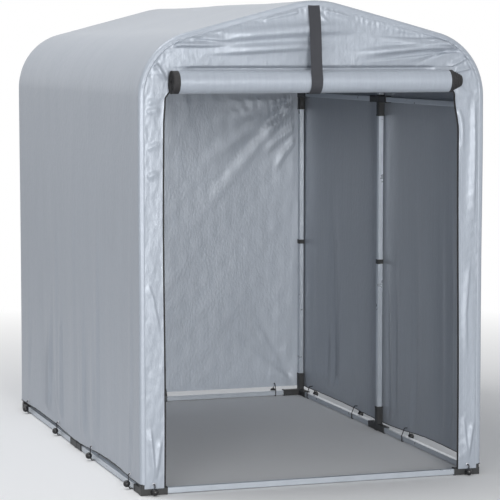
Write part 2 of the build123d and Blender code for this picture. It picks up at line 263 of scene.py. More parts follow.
def fold(a, b, points, width, height, start=0.15, end=0.3):
    """Fold along a line on a panel: steep on one side, rising at its start and dying out at its end."""
    points = np.asarray(points, float)
    steps = np.diff(points, axis=0)
    lengths = np.hypot(steps[:, 0], steps[:, 1])
    total = lengths.sum()
    nearest = np.full(a.shape, 1e9)
    place = np.zeros_like(a)
    steep = np.zeros_like(a)
    run = 0.0
    for (pa, pb), (da, db), length in zip(points[:-1], steps, lengths):
        t = np.clip(((a - pa) * da + (b - pb) * db) / length**2, 0, 1)
        gap = np.hypot(a - pa - t * da, b - pb - t * db)
        closer = gap < nearest
        nearest = np.where(closer, gap, nearest)
        steep = np.where(closer, (da * (b - pb) - db * (a - pa)) / length / width, steep)
        place = np.where(closer, (run + t * length) / total, place)
        run += length
    strength = smooth(place, 0, start) * (1 - smooth(place, 1 - end, 1.0001))
    reach = width * (0.95 - 0.50 * np.tanh(steep * 2.5))
    return height * strength * np.exp(-((nearest / reach) ** 2))


def grid_mesh(name, points, marks, material, flip=False):
    """Mesh of a grid of points, with the marks as its UV map in metres; flip turns its faces round."""
    if flip:
        points, marks = points[:, ::-1], marks[:, ::-1]
    rows, columns = points.shape[:2]
    index = np.arange(rows * columns).reshape(rows, columns)
    quads = np.stack([index[:-1, :-1], index[:-1, 1:], index[1:, 1:], index[1:, :-1]], -1).reshape(-1, 4)
    mesh = bpy.data.meshes.new(name)
    mesh.from_pydata(points.reshape(-1, 3).tolist(), [], quads.tolist())
    layer = mesh.uv_layers.new(name="cloth")
    corners = np.empty(len(mesh.loops), dtype=np.int32)
    mesh.loops.foreach_get("vertex_index", corners)
    layer.data.foreach_set("uv", marks.reshape(-1, 2)[corners].astype(np.float32).ravel())
    mesh.shade_smooth()
    mesh.materials.append(material)
    return placed(name, mesh)


crisp_angle = math.radians(55)


def give_thickness(piece, thickness, offset=-1.0):
    """Turns a thin sheet into a closed one whose cut edges are crisp."""
    solid = piece.modifiers.new("thickness", "SOLIDIFY")
    solid.thickness = thickness
    solid.offset = offset
    solid.use_rim = True
    bpy.context.view_layer.update()
    closed = bpy.data.meshes.new_from_object(piece.evaluated_get(bpy.context.evaluated_depsgraph_get()))
    closed.set_sharp_from_angle(angle=crisp_angle)
    piece.modifiers.clear()
    piece.data = closed


def keep_piece(piece, slot_name, *replaced):
    """A finished piece rides on the standing shelter, and stands for these solids."""
    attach(piece, "root")
    if replaced:
        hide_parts(*replaced)


weave, weave_in, weave_out = node_tree(
    "silver_weave", "Shader", {"Vector": "Vector", "Threads": 900.0, "Pucker": 60.0},
    {"Threads": "Float", "Streaks": "Float", "Pucker": "Float"},
)
split = add_node(weave, "ShaderNodeSeparateXYZ")
crossing = add_node(weave, "ShaderNodeMath", operation="MULTIPLY")
wire(weave, (weave_in, "Vector", split, "Vector"))
for place, axis in enumerate("XY"):
    turns = add_node(weave, "ShaderNodeMath", operation="MULTIPLY")
    sine = add_node(weave, "ShaderNodeMath", operation="SINE")
    wire(
        weave, (split, axis, turns, 0), (weave_in, "Threads", turns, 1), (turns, 0, sine, 0),
        (sine, 0, crossing, place),
    )
weave.links.new(scaled(weave, crossing.outputs[0], 0.0, 1.0, -1.0, 1.0), weave_out.inputs["Threads"])
for name, stretch in (("Streaks", (110.0, 2.0, 1.0)), ("Pucker", (1.0, 0.45, 1.0))):
    place = add_node(weave, "ShaderNodeMapping", {"Scale": stretch})
    noise = add_node(weave, "ShaderNodeTexNoise", {"Scale": 1.0, "Detail": 3.0, "Roughness": 0.55})
    wire(
        weave, (weave_in, "Vector", place, "Vector"), (place, "Vector", noise, "Vector"),
        (noise, "Fac", weave_out, name),
    )
wire(weave, (weave_in, "Pucker", noise, "Scale"))


def silver_cloth(name, light, dark, pucker_depth, pucker=72.0):
    """Silver-coated cloth: a fine weave, streaks along the warp and small puckers."""
    material, tree, shader = new_material(name, Metallic=0.16, Sheen_Weight=0.12, Sheen_Roughness=0.4)
    where = add_node(tree, "ShaderNodeUVMap", uv_map="cloth")
    look = add_node(tree, "ShaderNodeGroup", {"Threads": 5200.0, "Pucker": pucker}, node_tree=weave)
    shade = scaled(tree, look.outputs["Streaks"], 0.0, 1.0, 0.3, 0.7)
    coloured(tree, shader, shade, dark, light)
    tree.links.new(scaled(tree, look.outputs["Pucker"], 0.37, 0.49), shader.inputs["Roughness"])
    small = add_node(tree, "ShaderNodeBump", {"Strength": 0.15, "Distance": 0.0002})
    big = add_node(tree, "ShaderNodeBump", {"Strength": 1.0, "Distance": pucker_depth})
    wire(
        tree, (where, "UV", look, "Vector"), (look, "Threads", small, "Height"),
        (look, "Pucker", big, "Height"), (small, "Normal", big, "Normal"), (big, "Normal", shader, "Normal"),
    )
    return material


cover_cloth = silver_cloth("cover_cloth", (0.328, 0.361, 0.412, 1), (0.302, 0.333, 0.381, 1), 0.0013)
turn_angles = np.linspace(math.pi / 2, 0, 9)
border = [(seam_inset, 0.0), (0.0175, 0.0005), (0.0150, 0.0006), (0.0120, 0.0002)]
side_rows, eave_rows, slope_rows, depth_rows = 84, 60, 40, 112
middle_share = np.linspace(0, 1, depth_rows)[1:-1]
arch_steps = np.concatenate([
    np.linspace(-half_run, -half_run + side_run, side_rows)[:-1],
    np.linspace(-half_run + side_run, -half_run + side_run + eave_run, eave_rows)[:-1],
    np.linspace(-half_run + side_run + eave_run, 0, slope_rows),
])
arch_steps = np.concatenate([arch_steps, -arch_steps[-2::-1]])
up = half_run - np.abs(arch_steps)
eave_end = side_run + eave_run
round_eave = smooth(up, side_run - 0.02, side_run + 0.08) * (1 - smooth(up, eave_end, eave_end + 0.15))
corner = corner_r + 0.004 * round_eave
pucker_phase = arch_steps * 140 + 2.5 * waves(arch_steps, 0 * up, 5, 0.15)
lip = 1 + 4.5 * np.abs(np.sin(pucker_phase)) * (0.05 + round_eave)
middle_depth = back_y - front_y - 2 * corner
columns = [(front_y - rise * lip, inset_at + 0 * up, math.pi / 2) for inset_at, rise in border]
columns += [(front_y + corner * (1 - math.sin(t)), corner * (1 - math.cos(t)), t) for t in turn_angles]
columns += [(front_y + corner + middle_depth * share, 0 * up, 0.0) for share in middle_share]
front_end = columns[len(border) + len(turn_angles) - 1::-1]
columns += [(front_y + back_y - y, inset_at, -t) for y, inset_at, t in front_end]
depth = np.stack([column[0] for column in columns], 1)
inset = np.stack([column[1] for column in columns], 1)
turned = np.stack([np.full_like(up, column[2]) for column in columns], 1)
along = arch_steps[:, None] * np.ones_like(depth)
x, z, nx, nz = arch(along, inset)
up = half_run - np.abs(along)
left = along < 0
flat = np.cos(turned) ** 2
bay = (depth - front_y) / (back_y - front_y)
frames_held = np.abs(np.sin(2 * math.pi * bay))
side_ties = np.array([0.138, 0.6993, 1.2607, 1.822]) + front_y
swell = -roof_sag * frames_held * smooth(up, eave_end, eave_end + 0.1)
swell += -side_sag * frames_held * (1 - smooth(up, side_run - 0.2, side_run))
swell += 0.0012 * waves(depth, along, 3, 0.45) + 0.0006 * waves(depth, along * 0.4, 4, 0.12)
rng = np.random.default_rng(11)
for side_is_left in (True, False):
    on_side = (left == side_is_left) * flat
    for tie in side_ties:
        for _ in range(4):
            lean = rng.uniform(-0.16, 0.16)
            rise = rng.uniform(0.18, 0.62)
            swell += on_side * fold(
                depth, up, [(tie + lean * 0.1, 0.0), (tie + lean * 0.5, rise * 0.5), (tie + lean, rise)],
                rng.uniform(0.010, 0.022), rng.uniform(-0.0045, 0.004), 0.05, 0.8,
            )
    for _ in range(9):
        place, reach, lean = rng.uniform(0.08, 1.88), rng.uniform(0.5, 1.25), rng.uniform(-0.05, 0.05)
        swell += on_side * fold(
            depth, up, [(front_y + place, 0.02), (front_y + place + lean, reach)],
            rng.uniform(0.014, 0.032), rng.uniform(0.005, 0.011), 0.1, 0.7,
        )
    for place, reach, width, height in (
        (1.90, 1.2, 0.03, -0.005), (1.80, 0.9, 0.025, 0.003), (0.30, 0.7, 0.03, -0.003),
        (0.47, 1.0, 0.04, -0.003), (0.98, 1.3, 0.05, 0.003), (1.5, 0.8, 0.04, -0.003),
    ):
        swell += on_side * fold(
            depth, up, [(front_y + place, 0.0), (front_y + place + 0.015, reach)], width, height, 0.05, 0.6
        )
frame_lines = (front_y + portal_inset, (front_y + back_y) / 2, back_y - portal_inset)
to_frame = np.min(np.abs(depth[..., None] - np.array(frame_lines)), axis=-1)
slack = 0.0014 + 0.0032 * smooth(to_frame, 0.09, 0.2)
swell = np.where(swell < 0, -slack * np.tanh(-swell / slack), swell) * (1 - smooth(np.abs(turned), 1.0, 1.55))
span = np.clip(np.searchsorted(side_ties, depth) - 1, 0, 2)
part = np.clip((depth - side_ties[span]) / (side_ties[span + 1] - side_ties[span]), 0, 1)
scallop = np.array([0.009, -0.007, 0.003])[span] * np.sin(math.pi * part) ** 0.8 * flat
scallop += 0.0016 * waves(depth, 0 * depth + left, 9, 0.07) * flat
z = z + scallop * (1 - smooth(up, 0.0, 0.30))
shell = np.stack([
    x + swell * nx * np.cos(turned), depth - swell * np.sin(turned), z + swell * nz * np.cos(turned)
], -1)
cover = grid_mesh("cover_body", shell, np.stack([depth, along], -1), cover_cloth)
give_thickness(cover, cloth_thick)
out_front, out_back, out_side = np.array([0, -0.0003, 0]), np.array([0, 0.0003, 0]), np.array([0.0004, 0, 0])
stitch_rows = [shell[:, 1] + out_front, shell[:, -2] + out_back, shell[2] - out_side, shell[-3] + out_side]
hem_rows = [shell[0, 4:-4] - out_side, shell[-1, 4:-4] + out_side]
keep_piece(
    cover, "cover_cloth", "cover_side_left", "cover_eave_left", "cover_roof_left",
    "cover_roof_right", "cover_eave_right", "cover_side_right",
)

# Back wall: one flat panel of the same cloth, sewn to the cover all round its arch. Its cloth is painted
# lighter than the cover's, a painted light for the light that shines through the thin cloth from outside.
# It hangs from the back portal, and its folds run down from the eave joints, where it is pulled hardest.
lap_inset = seam_inset - 0.004
panel_setback = 0.0010
top_steps = arch_steps[(half_run - np.abs(arch_steps)) >= side_run - 1e-9]
panel_x, panel_top, _, _ = arch(top_steps, np.full_like(top_steps, lap_inset))
roll_z = eave_z + 0.053


def panel_points(column_x, bottom, tops, rows):
    """Grid of x and z for a panel of upright columns, each from the bottom to its own top."""
    z = bottom + (tops - bottom) * np.linspace(0, 1, rows)[:, None]
    return column_x * np.ones_like(z), z


def seam_gap(x, z):
    """How far a point of a panel is from the arch seam."""
    round_eave = np.hypot(np.maximum(np.abs(x) - eave_x, 0), np.maximum(z - eave_z, 0))
    to_slope = ridge_r - seam_inset + (ridge_z - z) * math.cos(slope) - np.abs(x) * math.sin(slope)
    to_side = np.where(np.abs(x) < eave_x, half_width, eave_r - seam_inset - round_eave)
    return np.clip(np.minimum(to_slope, to_side), 0, 1)


def fan(x, z, start, seed, count, turn, reach, height, width):
    """Folds that leave one point at several angles, in turns given in degrees."""
    rng = np.random.default_rng(seed)
    total = np.zeros_like(x)
    for step in range(count):
        angle = math.radians(turn[0] + (turn[1] - turn[0]) * (step + rng.uniform(0.2, 0.8)) / count)
        length = rng.uniform(*reach)
        bend = rng.uniform(-0.06, 0.06)
        half = length * 0.5
        middle = (start[0] + half * math.cos(angle + bend), start[1] + half * math.sin(angle + bend))
        end = (start[0] + length * math.cos(angle), start[1] + length * math.sin(angle))
        total += fold(x, z, [start, middle, end], rng.uniform(*width), height * rng.uniform(-1, 1), 0.1, 0.7)
    return total


# Painted light: the back wall's cloth is the cover's cloth painted about a quarter lighter, for light that
# shines through the thin cloth from outside and brightens the wall seen through the doorway.
back_cloth_painted_lighter = silver_cloth("back_cloth_painted_lighter", (0.415, 0.455, 0.515, 1), (0.388, 0.426, 0.482, 1), 0.0010, 105.0)
x, z = panel_points(panel_x, hem_z, panel_top, 96)
gap = seam_gap(x, z)
relief = 0.0025 * waves(x, z, 21, 0.35) + 0.0010 * waves(x * 1.5, z, 22, 0.09)
corner_folds = (
    ([(0.600, 1.335), (0.45, 1.325), (0.22, 1.300)], 0.011, -0.0110),
    ([(0.605, 1.300), (0.48, 1.275), (0.28, 1.230)], 0.012, -0.0120),
    ([(0.610, 1.255), (0.50, 1.215), (0.35, 1.145)], 0.011, -0.0115),
    ([(0.612, 1.210), (0.53, 1.155), (0.44, 1.070)], 0.010, -0.0100),
    ([(0.612, 1.150), (0.56, 1.090), (0.50, 1.000)], 0.009, -0.0090),
)
for side in (1, -1):
    eave_turn, foot_turn = ((174, 236), (100, 165)) if side > 0 else ((-56, 6), (15, 80))
    relief += fan(x, z, (side * 0.61, 1.34), 23 + side, 15, eave_turn, (0.22, 0.85), 0.0080, (0.009, 0.018))
    for points, width, height in corner_folds:
        relief += fold(x, z, [(side * a, b) for a, b in points], width, height, 0.1, 0.6)
    relief += fan(x, z, (side * 0.60, 0.06), 33 + side, 6, foot_turn, (0.2, 0.5), 0.004, (0.01, 0.02))
relief += fan(x, z, (0.0, 1.70), 41, 9, (200, 340), (0.2, 0.7), 0.004, (0.012, 0.025))
relief *= smooth(gap, 0.0, 0.035) * smooth(z, hem_z - 0.02, hem_z + 0.05)
wall_points = np.stack([x, back_y + relief - panel_setback, z], -1)
back_wall = grid_mesh("back_wall", wall_points, np.stack([x, z], -1), back_cloth_painted_lighter, flip=True)
give_thickness(back_wall, cloth_thick)
keep_piece(back_wall, "cover_cloth", "cover_back")

# Front: the gable over the doorway and a flap on each side of it.
# Same cloth, sewn to the arch. The rolled door pulls the gable into level folds, and its seam puckers
# where it goes round the eaves; the flaps end at the zip.
gable_run = np.linspace(-eave_run - slope_run - ridge_run, eave_run + slope_run + ridge_run, 331)
gable_arch_x, gable_arch_z, _, _ = arch(gable_run, np.full_like(gable_run, lap_inset))
gable_columns = gable_arch_z > roll_z + 1e-6
gable_reach = eave_x + math.sqrt((eave_r - lap_inset) ** 2 - (roll_z - eave_z) ** 2)
gable_x = np.concatenate([[-gable_reach], gable_arch_x[gable_columns], [gable_reach]])
gable_top = np.concatenate([[roll_z + 1e-4], gable_arch_z[gable_columns], [roll_z + 1e-4]])
x, z = panel_points(gable_x, roll_z, gable_top, 64)
gap = seam_gap(x, z)
relief = 0.0022 * waves(x * 0.5, z, 51, 0.16) + 0.0004 * waves(x, z * 1.5, 52, 0.05)
for points, width, height, start, end in (
    ([(0.22, 1.632), (0.0, 1.624), (-0.2, 1.611), (-0.42, 1.592)], 0.026, 0.0115, 0.4, 0.3),
    ([(0.08, 1.572), (-0.1, 1.563), (-0.30, 1.551), (-0.44, 1.546)], 0.018, 0.0070, 0.4, 0.4),
    ([(-0.40, 1.604), (-0.2, 1.622), (0.0, 1.636), (0.16, 1.640)], 0.026, 0.0080, 0.3, 0.4),
    ([(0.10, 1.540), (0.25, 1.552), (0.40, 1.568), (0.56, 1.580)], 0.024, 0.0090, 0.4, 0.1),
    ([(-0.36, 1.560), (-0.2, 1.566), (0.0, 1.574), (0.14, 1.580)], 0.022, 0.0050, 0.3, 0.4),
    ([(-0.50, roll_z + 0.046), (0.0, roll_z + 0.045), (0.47, roll_z + 0.046)], 0.010, -0.0085, 0.06, 0.06),
    ([(-0.29, 1.588), (-0.38, 1.594), (-0.495, 1.603)], 0.008, 0.0060, 0.5, 0.1),
    ([(-0.30, 1.577), (-0.40, 1.572), (-0.528, 1.572)], 0.009, 0.0065, 0.5, 0.1),
    ([(0.560, 1.566), (0.42, 1.562), (0.30, 1.552), (0.16, 1.538)], 0.013, 0.0090, 0.05, 0.5),
    ([(0.555, 1.554), (0.42, 1.545), (0.28, 1.530), (0.12, 1.516)], 0.012, -0.0065, 0.05, 0.6),
    ([(0.545, 1.582), (0.40, 1.584), (0.20, 1.590)], 0.013, 0.0060, 0.05, 0.6),
    ([(0.500, 1.602), (0.36, 1.602), (0.18, 1.612)], 0.012, -0.0045, 0.05, 0.6),
    ([(0.520, 1.604), (0.46, 1.594), (0.41, 1.589)], 0.007, 0.0055, 0.10, 0.5),
    ([(0.595, 1.490), (0.55, 1.480), (0.52, 1.468)], 0.008, 0.0050, 0.10, 0.4),
    ([(0.585, 1.530), (0.55, 1.512), (0.50, 1.490)], 0.008, 0.0055, 0.10, 0.4),
    ([(-0.585, 1.512), (-0.565, 1.478), (-0.545, 1.442)], 0.011, 0.0060, 0.15, 0.2),
    ([(0.03, 1.698), (0.08, 1.686), (0.15, 1.668)], 0.006, 0.0040, 0.1, 0.5),
    ([(0.01, 1.690), (0.03, 1.668), (0.05, 1.650)], 0.006, 0.0035, 0.1, 0.5),
    ([(-0.06, 1.690), (-0.14, 1.672), (-0.22, 1.655)], 0.006, 0.0035, 0.1, 0.5),
):
    relief += fold(x, z, points, width, height, start, end)
relief += fan(x, z, (0.55, 1.575), 53, 9, (160, 205), (0.08, 0.35), 0.004, (0.006, 0.012))
relief += fan(x, z, (-0.53, 1.575), 54, 5, (-4, 16), (0.08, 0.25), 0.0030, (0.006, 0.010))
relief += 0.0016 * waves(x, z, 55, 0.02, 8) * np.exp(-((gap - 0.012) / 0.014) ** 2)
relief *= 1.35 * smooth(gap, 0.0, 0.008) * smooth(z, roll_z, roll_z + 0.03)
relief = np.where((np.abs(x) < 0.54) & (z < roll_z + 0.05), np.minimum(relief, 0.0), relief)
gable_points = np.stack([x, front_y - relief + panel_setback, z], -1)
gable = grid_mesh("gable", gable_points, np.stack([x, z], -1), cover_cloth)
give_thickness(gable, cloth_thick)
keep_piece(gable, "cover_cloth", "cover_gable")


def zip_line(z, side):
    """Where the edge of a flap's zip stands across the doorway; at the top it turns in behind the roll."""
    if side > 0:
        lower = 0.555 - 0.016 * smooth(z, 1.26, 1.39) - 0.009 * smooth(z, 0.2, 1.2)
        return lower - 0.030 * smooth(z, 1.395, 1.445)
    lower = -0.555 + 0.004 * smooth(z, 1.30, 1.38) + 0.002 * np.sin(z * 5.0)
    return lower + 0.034 * smooth(z, 1.385, 1.440)


tape_room = 0.0022
for side, label in ((-1, "left"), (1, "right")):
    across_steps = np.linspace(0, 1, 26)[None, :]
    t = np.linspace(0, 1, 200)[:, None]
    outer_z = front_hem_z + (roll_z - front_hem_z) * t
    drop = np.clip(outer_z - eave_z, 0, 1)
    outer_x = eave_x + np.sqrt((eave_r - lap_inset) ** 2 - drop**2)
    inner = zip_line(outer_z, side) + side * 0.006
    x = inner + (side * outer_x - inner) * across_steps
    z = outer_z * np.ones_like(x)
    gap = (side * outer_x - x) * side
    relief = 0.0014 * waves(x * 1.5, z * 0.6, 60 + side, 0.13) + 0.0008 * waves(x, z, 62 + side, 0.035)
    rows = (
        [(-0.60, 1.50), (-0.575, 1.46), (-0.548, 1.428)], [(-0.624, 1.372), (-0.59, 1.388), (-0.55, 1.406)],
        [(-0.622, 1.345), (-0.59, 1.352), (-0.565, 1.35)], [(-0.622, 1.215), (-0.59, 1.232), (-0.562, 1.228)],
        [(-0.622, 1.120), (-0.595, 1.130), (-0.57, 1.128)], [(-0.62, 0.75), (-0.60, 0.70), (-0.57, 0.55)],
        [(-0.61, 0.24), (-0.60, 0.12), (-0.598, 0.045)], [(-0.57, 0.20), (-0.585, 0.10), (-0.596, 0.045)],
    ) if side < 0 else (
        [(0.545, 1.430), (0.575, 1.405), (0.615, 1.395)], [(0.548, 1.350), (0.565, 1.300), (0.570, 1.180)],
        [(0.612, 1.400), (0.614, 1.20), (0.612, 0.90)], [(0.60, 0.80), (0.585, 0.60), (0.59, 0.40)],
        [(0.545, 1.46), (0.585, 1.45), (0.62, 1.44)], [(0.58, 0.22), (0.59, 0.12), (0.597, 0.045)],
        [(0.62, 0.20), (0.605, 0.10), (0.598, 0.045)],
    )
    for step, points in enumerate(rows):
        relief += fold(x, z, points, 0.009, 0.0050 if step % 2 == 0 else 0.0038, 0.2, 0.4)
    seam_pucker = 0.0014 * waves(x, z, 66 + side, 0.022, 8) * np.exp(-((gap - 0.012) / 0.012) ** 2)
    relief += seam_pucker * smooth(z, 1.0, 1.3)
    relief *= 1.2 * smooth(gap, 0.0, 0.008) * smooth(np.abs(x - inner), 0.0, 0.006)
    relief *= smooth(z, front_hem_z - 0.01, 0.07) * (1 - smooth(z, roll_z - 0.03, roll_z))
    relief = np.where(z > roll_z - 0.06, np.minimum(relief, 0.0015), relief)
    relief = np.maximum(relief, -tape_room)
    points = np.stack([x, front_y - relief + panel_setback, z], -1)
    stitch_rows += [points[:-6, 2] + out_front, points[:-6, 5] + out_front]
    flap = grid_mesh("front_flap_cloth_" + label, points, np.stack([x, z], -1), cover_cloth, flip=side < 0)
    give_thickness(flap, cloth_thick)
    keep_piece(flap, "cover_cloth", "front_flap_" + label)

# Door roll: the door rolled up outwards on itself, a spiral of about eight turns.
# The same cloth; its outer turn comes down the gable from the seam it hangs from. The roll is a little
# uneven, as hand-rolled cloth is, and the same dents go through all its turns.
roll_left, roll_right = -0.519, 0.487
roll_radius, roll_core, roll_lift = 0.0422, 0.0090, 0.033
roll_gap, roll_reach = 0.0003, 0.0425
roll_y = front_y - roll_gap - roll_reach
roll_turns = 8.2


def roll_shape(turn_from_outside, x):
    """Radius and place round the roll's axis; turns are counted inwards from the back of the roll."""
    angle = -2 * math.pi * turn_from_outside
    radius = roll_radius - (roll_radius - roll_core) * turn_from_outside / roll_turns
    dent = 0.55 * waves(x, np.sin(angle) * 0.05, 71, 0.32)
    dent = dent + 0.35 * waves(x, np.cos(angle) * 0.06 + x * 0.3, 72, 0.11)
    dent = dent - 0.35 * np.clip(np.sin(angle * 3 + x * 9.0), 0, 1) ** 4
    radius = radius * (1 - 0.022 * (0.6 - dent))
    return roll_y + radius * np.cos(angle), roll_z + radius * np.sin(angle)


turn_steps = np.concatenate([np.linspace(0, 1.1, 72)[:-1], np.linspace(1.1, roll_turns, 210)])
x_steps = np.linspace(roll_left, roll_right, 96)
turn_grid, x = np.meshgrid(turn_steps, x_steps, indexing="ij")
y, z = roll_shape(turn_grid, x)
lift_z = np.linspace(roll_lift, 0.002, 14)[:, None] * np.ones_like(x_steps)[None, :] + roll_z
lift_y = front_y - 0.0012 + (y[0] - front_y + 0.0012)[None, :] * smooth(lift_z, roll_z + 0.03, roll_z)
lift_x = np.ones_like(lift_z) * x_steps
x, y, z = (np.concatenate(pair) for pair in ((lift_x, x), (lift_y, y), (lift_z, z)))
run = np.concatenate([[0], np.cumsum(np.hypot(np.diff(y[:, 48]), np.diff(z[:, 48])))])
marks = np.stack([x, np.ones_like(x) * run[:, None]], -1)
door_roll = grid_mesh("door_roll_cloth", np.stack([x, y, z], -1), marks, cover_cloth)
give_thickness(door_roll, cloth_thick)
keep_piece(door_roll, "cover_cloth", "door_roll")

# Zip tapes at the ends of the roll.
# Black woven tape with the zip's coil along its edge. The left edges lie level in a tight spiral; on the
# right the turns have slipped, so each inner turn stands out further than the one round it.
teeth_rows = []
mean_turn = 0.17
tape_thick = 0.0013
zip_tape, tree, shader = new_material("zip_tape", Roughness=0.7)
where = add_node(tree, "ShaderNodeUVMap", uv_map="cloth")
rib_sizes = {"Scale": 260.0, "Distortion": 0.6, "Detail": 1.0}
rib = add_node(tree, "ShaderNodeTexWave", rib_sizes, bands_direction="Y")
look = grained(tree, 1800.0, 40.0)
shade = add_node(tree, "ShaderNodeMath", operation="MULTIPLY")
wire(tree, (where, "UV", rib, "Vector"), (rib, "Fac", shade, 0), (look, "Patch", shade, 1))
coloured(tree, shader, shade.outputs[0], (0.006, 0.006, 0.007, 1), (0.034, 0.033, 0.035, 1))
bumped(tree, shader, rib.outputs["Fac"], 0.6, 0.0004)


def roll_tape(name, end_x, near, far):
    """Tape that follows the roll's turns from one place along it out to its own edge, both given by turn."""
    turns, part = np.meshgrid(np.linspace(0.02, roll_turns, 330), np.linspace(0, 1, 7), indexing="ij")
    x = near(turns) + (far(turns) - near(turns)) * part
    y, z = roll_shape(turns, np.full_like(x, end_x))
    points = np.stack([x, y, z], -1)
    teeth_rows.append(points[:, -1])
    piece = grid_mesh(name, points, np.stack([x, turns * mean_turn], -1), zip_tape, flip=end_x < 0)
    give_thickness(piece, tape_thick)
    return piece


left_tape = roll_tape(
    "roll_tape_left", roll_left, lambda t: roll_left - 0.0003 + 0 * t,
    lambda t: roll_left - 0.0232 - 0.0008 * np.sin(t * 5),
)
right_tape = roll_tape(
    "roll_tape_right", roll_right, lambda t: roll_right + 0.0003 + 0.030 * smooth(t, 0, 6.5),
    lambda t: roll_right + 0.0120 + 0.040 * smooth(t, 0, 6.5),
)
keep_piece(left_tape, "zip_tape", "roll_zips")
keep_piece(right_tape, "zip_tape")

# Strap: dark grey webbing from the ridge down over the roll and up behind it.
# Sewn in under the ridge, pulled tight over the front of the roll, its tail tucked in between roll and gable.
webbing, tree, shader = new_material("webbing", Roughness=0.75)
where = add_node(tree, "ShaderNodeUVMap", uv_map="cloth")
rib_sizes = {"Scale": 150.0, "Distortion": 0.3, "Detail": 1.0}
rib = add_node(tree, "ShaderNodeTexWave", rib_sizes, bands_direction="DIAGONAL")
look = grained(tree, 1500.0, 12.0)
shade = add_node(tree, "ShaderNodeMath", {1: 0.4}, operation="MULTIPLY_ADD")
wire(tree, (where, "UV", rib, "Vector"), (rib, "Fac", shade, 0))
tree.links.new(scaled(tree, look.outputs["Patch"], 0.0, 0.6), shade.inputs[2])
coloured(tree, shader, shade.outputs[0], (0.018, 0.019, 0.024, 1), (0.036, 0.038, 0.046, 1))
bumped(tree, shader, rib.outputs["Fac"], 0.5, 0.0004)
strap_radius = 0.0441
strap_half = 0.021
strap_top = 1.7214
strap_start = (strap_radius, strap_top - roll_z)
lead = math.atan2(strap_start[1], strap_start[0]) + math.acos(strap_radius / math.hypot(*strap_start))
straight = np.linspace(0, 1, 40)[:-1]
tail = math.radians(343)
bend = np.linspace(lead, tail, 60)
touch = (strap_radius * math.cos(lead), strap_radius * math.sin(lead))
line_y, line_z = (
    np.concatenate([start + (end - start) * straight, strap_radius * round_part])
    for start, end, round_part in zip(strap_start, touch, (np.cos(bend), np.sin(bend)))
)
run = np.concatenate([[0], np.cumsum(np.hypot(np.diff(line_y), np.diff(line_z)))])
strap_run, strap_across = np.meshgrid(run, np.linspace(-strap_half, strap_half, 11), indexing="ij")
x = -0.008 - 0.016 * smooth(strap_run, 0.02, 0.30) + strap_across
y = roll_y + line_y[:, None] * (1 + 0 * x)
z = roll_z + line_z[:, None] - 0.0004 * np.cos(strap_across / strap_half * math.pi) * (strap_run < 0.25)
strap = grid_mesh("roll_webbing", np.stack([x, y, z], -1), np.stack([strap_across, strap_run], -1), webbing)
give_thickness(strap, 0.0017, 1.0)
keep_piece(strap, "webbing", "roll_strap")

# Zip tapes along the doorway.
# The same black tape, sewn behind the flap's edge, with its coil towards the doorway. It lies a few
# millimetres behind the cloth and comes forward to the flap's edge, from the front hem up to the roll.
tape_foot = 0.002
tape_y = front_y + 0.0045
for side, label in ((-1, "left"), (1, "right")):
    t = np.linspace(0, 1, 240)[:, None]
    height = front_hem_z + tape_foot + (roll_z - front_hem_z - tape_foot) * t
    part = np.array([0.0, 0.004, 0.008, 0.016, 0.020])[None, :]
    x = zip_line(height, side) + side * part
    z = height * np.ones_like(x)
    y = tape_y - 0.0026 * smooth(part, 0.007, 0.0) + 0.0003 * waves(x, z, 81, 0.05)
    points = np.stack([x, y, z], -1)
    teeth_rows.append(points[:, 0])
    tape = grid_mesh("door_zip_" + label, points, np.stack([x, z], -1), zip_tape, flip=side < 0)
    give_thickness(tape, 0.0010)
    keep_piece(tape, "zip_tape", "zip_tape_" + label)

# Ball ties: elastic loops that hold the hem down to the ground rails.
# Each is a black elastic cord of about 4 mm through an eyelet of the hem and round the rail, closed by a
# black plastic ball of 25 mm. The cords are taut and closed, so they have no free length.
tie_finish = grained_finish(
    "tie_ball", 1200.0, 60.0, (0.004, 0.004, 0.005, 1), (0.014, 0.014, 0.016, 1), (0.25, 0.45),
    bump=(0.15, 0.0003),
)
elastic, tree, shader = new_material("tie_elastic", Roughness=0.8)
where = add_node(tree, "ShaderNodeTexCoord")
braid = add_node(tree, "ShaderNodeTexWave", {"Scale": 420.0, "Distortion": 1.0}, bands_direction="DIAGONAL")
wire(tree, (where, "Object", braid, "Vector"))
coloured(tree, shader, braid.outputs["Fac"], (0.006, 0.006, 0.007, 1), (0.030, 0.030, 0.034, 1))
bumped(tree, shader, braid.outputs["Fac"], 0.5, 0.0003)


def baked(name, source, tree, values):
    """Runs a geometry tree over a mesh and keeps the result as a plain mesh."""
    carrier = placed(name + "_base", source)
    modifier = carrier.modifiers.new("shape", "NODES")
    modifier.node_group = tree
    for socket in tree.interface.items_tree:
        if socket.in_out == "INPUT" and socket.name in values:
            modifier[socket.identifier] = values[socket.name]
    bpy.context.view_layer.update()
    seen = carrier.evaluated_get(bpy.context.evaluated_depsgraph_get())
    mesh = bpy.data.meshes.new_from_object(seen)
    mesh.name = name
    bpy.data.objects.remove(carrier)
    return placed(name, mesh)


def line_mesh(name, rows, balls=()):
    """Mesh of open lines, one for each row of points, and of one loose marked point for each ball."""
    points, edges = [], []
    for row in rows:
        edges += [(len(points) + k, len(points) + k + 1) for k in range(len(row) - 1)]
        points += [tuple(float(value) for value in point) for point in row]
    mesh = bpy.data.meshes.new(name)
    mesh.from_pydata(points + list(balls), edges, [])
    if balls:
        mark = mesh.attributes.new("ball", "BOOLEAN", "POINT")
        mark.data.foreach_set("value", [False] * len(points) + [True] * len(balls))
    return mesh


